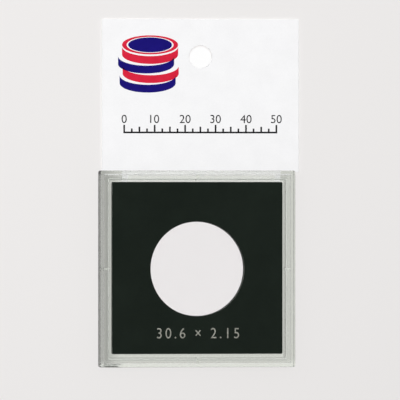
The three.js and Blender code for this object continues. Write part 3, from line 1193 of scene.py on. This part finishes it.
@dataclass
class CoinInsert:
    """The loose black sheet with the coin hole, and the numbers stamped under the hole."""

    side: float = 55.8
    corner_radius: float = 0.5
    hole: float = 30.8
    hole_drop: float = 0.3
    hole_taper: float = 0.15
    edge: float = 0.12
    cut_slope: float = 0.6
    foil_thickness: float = 0.02
    coin_size: str = "30.6 × 2.15"
    numbers_below: float = 21.15
    numbers_right: float = 0.15
    numbers_width: float = 26.9
    numbers_height: float = 3.35
    numbers_thin: float = 0.005
    numbers_spacing: float = 1.35
    centre: tuple[float, float] = field(default_factory=lambda: middle_of("insert"))
    heights: tuple[float, float] = field(default_factory=lambda: heights_of("insert"))

    def sheet(self) -> bpy.types.Object:
        """Makes the sheet.

        Returns:
            The closed piece.
        """
        outline = rounded_rectangle(self.side, self.side, self.corner_radius, 33, 5)
        heights = (self.heights[0] + AIR_GAP, self.heights[1])
        hole = (self.centre[0], self.centre[1] - self.hole_drop)
        return plate_with_hole(
            "insert_black", outline, self.centre, hole, self.hole, heights, self.edge, self.hole_taper
        )

    def mark_cut_edges(self, sheet: bpy.types.Object) -> None:
        """Gives the cut edge's grey, partly a painted sheen, to the faces that stand upright, where the die
        cut the sheet.

        Args:
            sheet: the dressed sheet.
        """
        upright = np.abs(face_rows(sheet, FaceRow.OUTWARD)[:, 2]) < self.cut_slope
        second_finish(sheet, CUT_EDGE_WITH_PAINTED_SHEEN.material(), upright)

    def stamp(self) -> bpy.types.Object:
        """Makes the stamped coin size.

        Returns:
            The piece.
        """
        row = Words(
            self.coin_size,
            (self.centre[0] + self.numbers_right, self.centre[1] - self.numbers_below),
            self.numbers_height,
            self.numbers_width,
            self.numbers_thin,
            self.numbers_spacing,
        )
        return numbers_piece("stamped_numbers", [row], self.heights[1], self.heights[1] + self.foil_thickness)

    def build(self) -> None:
        """Builds and dresses the sheet and its numbers."""
        sheet = self.sheet()
        fit_out(sheet, SATIN_BLACK_SHEET.material(), Body.INSERT, "insert")
        self.mark_cut_edges(sheet)
        fit_out(self.stamp(), SILVER_FOIL.material(), Body.INSERT)


@dataclass
class HangCard:
    """The white card with its hang hole, plain printing and the adhesive behind the case."""

    width: float = 64.6
    height: float = 55.2
    corner_radius: float = 0.4
    tab: tuple[float, float] = (52.0, 5.5)
    hole: float = 7.5
    hole_from_top: float = 12.2
    edge: float = 0.06
    ink_thickness: float = 0.01
    stack_top: tuple[float, float] = (-16.4, 48.1)
    coin_half: tuple[float, float] = (9.2, 3.1)
    coin_height: float = 2.55
    coin_gap: float = 0.55
    coin_rim: float = 1.5
    coin_face_gap: float = 0.5
    stagger: tuple[float, ...] = (0.5, -0.8, 0.7, -0.3)
    rule_start: tuple[float, float] = (-24.4, 19.4)
    rule_length: int = 50
    rule_step: float = 2.5
    rule_ticks: tuple[float, float, float] = (2.2, 1.6, 1.0)
    line: float = 0.55
    number_height: float = 2.7
    number_lift: float = 3.3
    strip: tuple[float, float] = (48.0, 4.4)
    strip_edge: float = 0.05
    strip_flat: float = 0.5
    strip_corner: float = 0.3
    centre: tuple[float, float] = field(default_factory=lambda: middle_of("hang_card"))
    heights: tuple[float, float] = field(default_factory=lambda: heights_of("hang_card"))

    def outline(self) -> np.ndarray:
        """Gives the card's outline: a panel with round corners, and a narrower tab below it.

        The panel's lower side is opened between -w/2 and w/2, w the tab's width, and the tab's three sides
        are set in.

        Returns:
            Closed row of points by 2 about the card's middle, counter-clockwise.
        """
        per_side, per_corner, down_tab, along_tab = 33, 7, 5, 29
        half, length = self.tab[0] / 2, self.tab[1]
        panel = rounded_rectangle(self.width, self.height - length, self.corner_radius, per_side, per_corner)
        panel = panel + np.array([0, length / 2])
        shoulder, end = panel[:, 1].min(), -self.height / 2
        start = Side.LOWER.value * (per_side + per_corner)
        down = np.stack([np.full(down_tab, -half), np.linspace(shoulder, end, down_tab)], -1)
        along = np.stack([np.linspace(-half, half, along_tab), np.full(along_tab, end)], -1)
        ends = panel[start : start + 1], panel[start + per_side - 1 :]
        return np.concatenate([panel[:start], ends[0], down, along[1:-1], down[::-1] * [-1, 1], ends[1]])

    @property
    def hole_place(self) -> tuple[float, float]:
        """Centre of the hang hole."""
        return self.centre[0], self.centre[1] + self.height / 2 - self.hole_from_top

    def card(self) -> bpy.types.Object:
        """Makes the card."""
        return plate_with_hole(
            "card_white", self.outline(), self.centre, self.hole_place, self.hole, self.heights, self.edge
        )

    def adhesive(self) -> bpy.types.Object:
        """Makes the adhesive strip: rounded rectangles, one for each point of its softly rounded edge.

        Returns:
            The closed piece.
        """
        bottom, top = heights_of("adhesive_strip")
        top = top - AIR_GAP
        flats = [[self.strip_flat, bottom]], [[self.strip_flat, top]]
        edge = np.concatenate([flats[0], edge_profile(bottom, top, self.strip_edge), flats[1]])
        wide, deep = self.strip
        rings = np.stack(
            [
                rounded_rectangle(wide - 2 * inset, deep - 2 * inset, self.strip_corner, 9, 4)
                for inset in edge[:, 0]
            ]
        )
        tall = np.broadcast_to(edge[:, 1][:, None, None], (*rings.shape[:2], 1))
        middle = np.array(middle_of("adhesive_strip"))
        return capped_loft("adhesive_film", np.concatenate([rings + middle, tall], -1))

    def coin_edges(self, rows: slice) -> list[np.ndarray]:
        """Gives the outlines of the edges of stacked coins, seen a little from above.

        Each edge is the strip between two lower halves of the coin's ellipse, one coin height apart.

        Args:
            rows: which coins of the stack, from the top.

        Returns:
            Closed outlines.
        """
        x, y = self.stack_top
        shapes = []
        for row in range(len(self.stagger))[rows]:
            high = (x + self.stagger[row], y - self.coin_gap - row * (self.coin_height + self.coin_gap))
            low = (high[0], high[1] - self.coin_height)
            lower, upper = ellipse(low, self.coin_half, 180, 360), ellipse(high, self.coin_half, 360, 180)
            shapes.append(np.concatenate([lower, upper]))
        return shapes

    def coin_ellipse(self, inset: float) -> np.ndarray:
        """Gives the top coin's ellipse, or one inside it with both half axes shrunk alike.

        Args:
            inset: what its longer half axis loses.

        Returns:
            Closed row of points by 2.
        """
        across, deep = self.coin_half
        share = 1 - inset / across
        middle = (self.stack_top[0] + self.stagger[0], self.stack_top[1])
        return ellipse(middle, (across * share, deep * share), 0, 355)

    def rule_outline(self) -> np.ndarray:
        """Gives the outline of a millimetre rule: a base line with ticks at even steps, like a comb.

        The outline runs along the base line's lower side and back over the ticks from right to left; each
        fourth tick, at a centimetre, is tallest, and each second one, at half a centimetre, is next.

        Returns:
            Closed row of points by 2, counter-clockwise.
        """
        x, y = self.rule_start
        count = np.arange(round(self.rule_length / self.rule_step), -1, -1)
        tall = np.select([count % 4 == 0, count % 2 == 0], self.rule_ticks[:2], self.rule_ticks[2])
        across = x + self.rule_step * count[:, None] + self.line / 2 * np.array([1, 1, -1, -1])
        upward = y + self.line + tall[:, None] * np.array([0, 1, 1, 0])
        ticks = np.stack([across, upward], -1).reshape(-1, 2)
        base = [[x - self.line / 2, y], [x + self.rule_length + self.line / 2, y]]
        return np.concatenate([base, ticks])

    def rule_numbers(self) -> list[Words]:
        """Gives the rule's numbers, one at each centimetre.

        Returns:
            The rows of numbers.
        """
        x, y = self.rule_start
        high = y + self.number_lift + self.number_height / 2
        marks = range(0, self.rule_length + 1, 10)
        return [Words(str(mark), (x + mark, high), self.number_height) for mark in marks]

    def build(self) -> None:
        """Builds and dresses the card, the adhesive and the printing."""
        body, front = Body.TRAY_AND_CARD, self.heights[1]
        ink = (front, front + self.ink_thickness)
        fit_out(self.card(), COATED_BOARD.material(), body, "hang_card")
        fit_out(self.adhesive(), ACRYLIC_ADHESIVE.material(), body, "adhesive_strip")
        rim = np.stack([self.coin_ellipse(0.0), self.coin_ellipse(self.coin_rim)])
        face = self.coin_ellipse(self.coin_rim + self.coin_face_gap)
        red = [*self.coin_edges(slice(0, None, 2)), rim]
        blue = [*self.coin_edges(slice(1, None, 2)), face]
        black = BLACK_INK.material()
        printed = (
            (prisms("printed_coins_red", red, *ink), RED_INK.material()),
            (prisms("printed_coins_blue", blue, *ink), BLUE_INK.material()),
            (prisms("printed_rule", [self.rule_outline()], *ink), black),
            (numbers_piece("printed_numbers", self.rule_numbers(), *ink), black),
        )
        for piece, colour in printed:
            fit_out(piece, colour, body)


@dataclass(frozen=True)
class Lamp:
    """A large soft lamp that points at the object, screened so that the plastic doesn't mirror it."""

    name: str
    place: tuple[float, float, float]
    size: float
    power: float

    def build(self) -> None:
        """Makes the lamp; its place and size are in metres, its power in watts."""
        data = bpy.data.lights.new(self.name, "AREA")
        data.shape = "DISK"
        data.size = self.size
        data.energy = self.power
        lamp = bpy.data.objects.new(self.name, data)
        lamp.location = self.place
        lamp.rotation_euler = Vector(self.place).to_track_quat("Z", "Y").to_euler()
        lamp.visible_camera = False
        lamp.visible_glossy = False
        lamp.visible_transmission = False
        bpy.context.scene.collection.objects.link(lamp)


@dataclass
class Studio:
    """The pale floor, the soft light and the camera at the photograph's angle."""

    floor_size: float = 6000.0
    floor_squares: int = 8
    floor_level: float = -0.01
    horizon: str = "#E9E7E6"
    sky_light: tuple[float, float] = (0.75, 0.01)
    sky_dark: tuple[float, float] = (0.6, 0.95)
    sky_fill: float = 0.06
    lens: float = 800.0
    sensor: float = 36.0
    camera_reach: float = 20.0  # metres
    pixels: int = 400
    scale: float = 3.085
    turn: float = 8.5
    aim: tuple[float, float, float] = (-0.49, -2.26, 6.9)
    lamps: tuple[Lamp, ...] = (
        Lamp("lamp_top", (0.0, 0.17, 1.18), 0.3, 10.95),
        Lamp("lamp_left", (-0.6, 0.1, 1.05), 0.3, 3.72),
    )

    def floor(self) -> bpy.types.Object:
        """Makes the floor, a flat grid of squares just under the card.

        Returns:
            The floor.
        """
        step = np.linspace(-0.5, 0.5, self.floor_squares + 1) * self.floor_size
        x, y = np.meshgrid(step, step)
        points = np.stack([x.ravel(), y.ravel(), np.full(x.size, self.floor_level)], -1)
        index = np.arange(x.size).reshape(x.shape)
        quads = np.stack([index[:-1, :-1], index[:-1, 1:], index[1:, 1:], index[1:, :-1]], -1)
        return mesh_piece("floor", points, quads.reshape(-1, 4).tolist())

    def world(self) -> None:
        """Makes the sky.

        It is pale for the camera, a dim fill for matt surfaces, and for what the plastic mirrors or bends
        a white wall all round that is dark overhead.
        """
        world = bpy.data.worlds.new("studio")
        bpy.context.scene.world = world
        world.use_nodes = True
        tree = world.node_tree
        tree.nodes.clear()
        parts = add_node(tree, "SeparateXYZ", {0: add_node(tree, "TexCoord").outputs["Generated"]})
        level = add_node(
            tree, "MapRange", {"Value": parts.outputs["Z"]}, span(self.sky_dark, self.sky_light), **SMOOTH
        )
        shade = {"Color": linear(self.horizon)}
        wall = add_node(tree, "Background", {"Strength": level}, shade)
        fill = add_node(tree, "Background", values={**shade, "Strength": self.sky_fill})
        seen = add_node(tree, "Background", values={**shade, "Strength": 1.0})
        rays = add_node(tree, "LightPath").outputs
        bent = add_node(
            tree, "Math", {0: rays["Is Glossy Ray"], 1: rays["Is Transmission Ray"]}, operation="MAXIMUM"
        )
        light = add_node(tree, "MixShader", {0: bent, 1: fill, 2: wall})
        both = add_node(tree, "MixShader", {0: rays["Is Camera Ray"], 1: light, 2: seen})
        add_node(tree, "OutputWorld", {"Surface": both})

    def camera(self) -> None:
        """Makes the camera: above the window, turned to the left, with a long lens."""
        data = bpy.data.cameras.new("photo_camera")
        data.lens = self.lens
        data.sensor_width = self.sensor
        data.clip_end = self.camera_reach
        distance = self.lens / self.sensor * self.pixels / self.scale * MM
        turn = math.radians(self.turn)
        back = Vector((-math.sin(turn), 0.0, math.cos(turn)))
        up = Vector((0.0, 1.0, 0.0))
        camera = bpy.data.objects.new("photo_camera", data)
        camera.location = Vector(self.aim) * MM + back * distance
        camera.rotation_euler = Matrix((up.cross(back), up, back)).transposed().to_euler()
        bpy.context.scene.collection.objects.link(camera)
        bpy.context.scene.camera = camera

    def build(self) -> None:
        """Builds the floor, sky, lamps and camera."""
        floor = self.floor()
        case = middle_of("back_tray")
        floor.data.materials.append(StudioPaper(case, case, HangCard().hole_place).material())
        self.world()
        for lamp in self.lamps:
            lamp.build()
        self.camera()
        scene = bpy.context.scene
        scene.view_settings.view_transform = "Standard"
        # The lamps' rays already pass the clear plastic, so light that it bends isn't counted again.
        scene.cycles.caustics_reflective = False
        scene.cycles.caustics_refractive = False


def main() -> None:
    """Builds the holder's sub-assemblies and the studio in order."""
    logging.basicConfig(level=logging.INFO, format="%(name)s: %(message)s")
    SnapCase().build()
    CoinInsert().build()
    HangCard().build()
    Studio().build()


if __name__ == "__main__":
    main()
